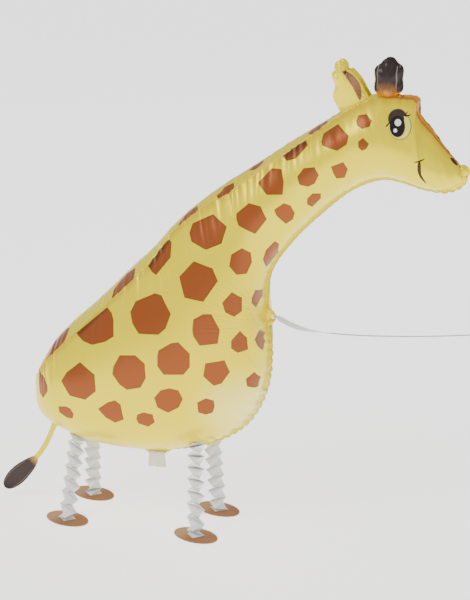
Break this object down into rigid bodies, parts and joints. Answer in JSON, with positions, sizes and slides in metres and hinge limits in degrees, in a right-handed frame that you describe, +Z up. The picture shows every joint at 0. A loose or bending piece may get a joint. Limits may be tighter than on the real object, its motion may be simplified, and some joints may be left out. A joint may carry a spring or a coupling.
{
  "type": "giraffe foil balloon",
  "caption": "Walking giraffe foil balloon with folded paper legs, cardboard feet, a foil tail and a ribbon leash.",
  "frame": {"origin": "on the floor under the middle of the standing balloon, the leash left out", "axes": "+X towards the head, +Y to the giraffe's left, +Z up"},
  "size_m": [0.8416, 0.1762, 0.7183],
  "materials": {
    "foil": "inflated metallised foil, satin gloss, printed yellow with brown spots",
    "foil_tail": "flat printed foil, yellow strip with a dark brown tuft",
    "clear_film": "clear film, bare",
    "leg_paper": "white folded paper, matt",
    "foot_card": "brown cardboard, matt",
    "ribbon": "white curling ribbon, slightly glossy"
  },
  "bodies": {
    "root": {"foil_giraffe": "foil", "foil_tail": "foil_tail", "valve_tab": "clear_film", "paper_leg_back_right": "leg_paper", "paper_leg_back_left": "leg_paper", "paper_leg_front_right": "leg_paper", "paper_leg_front_left": "leg_paper", "card_foot_back_right": "foot_card", "card_foot_back_left": "foot_card", "card_foot_front_right": "foot_card", "card_foot_front_left": "foot_card", "leash_ribbon": "ribbon", "leash_hand_loop": "ribbon"}
  },
  "joints": []
}
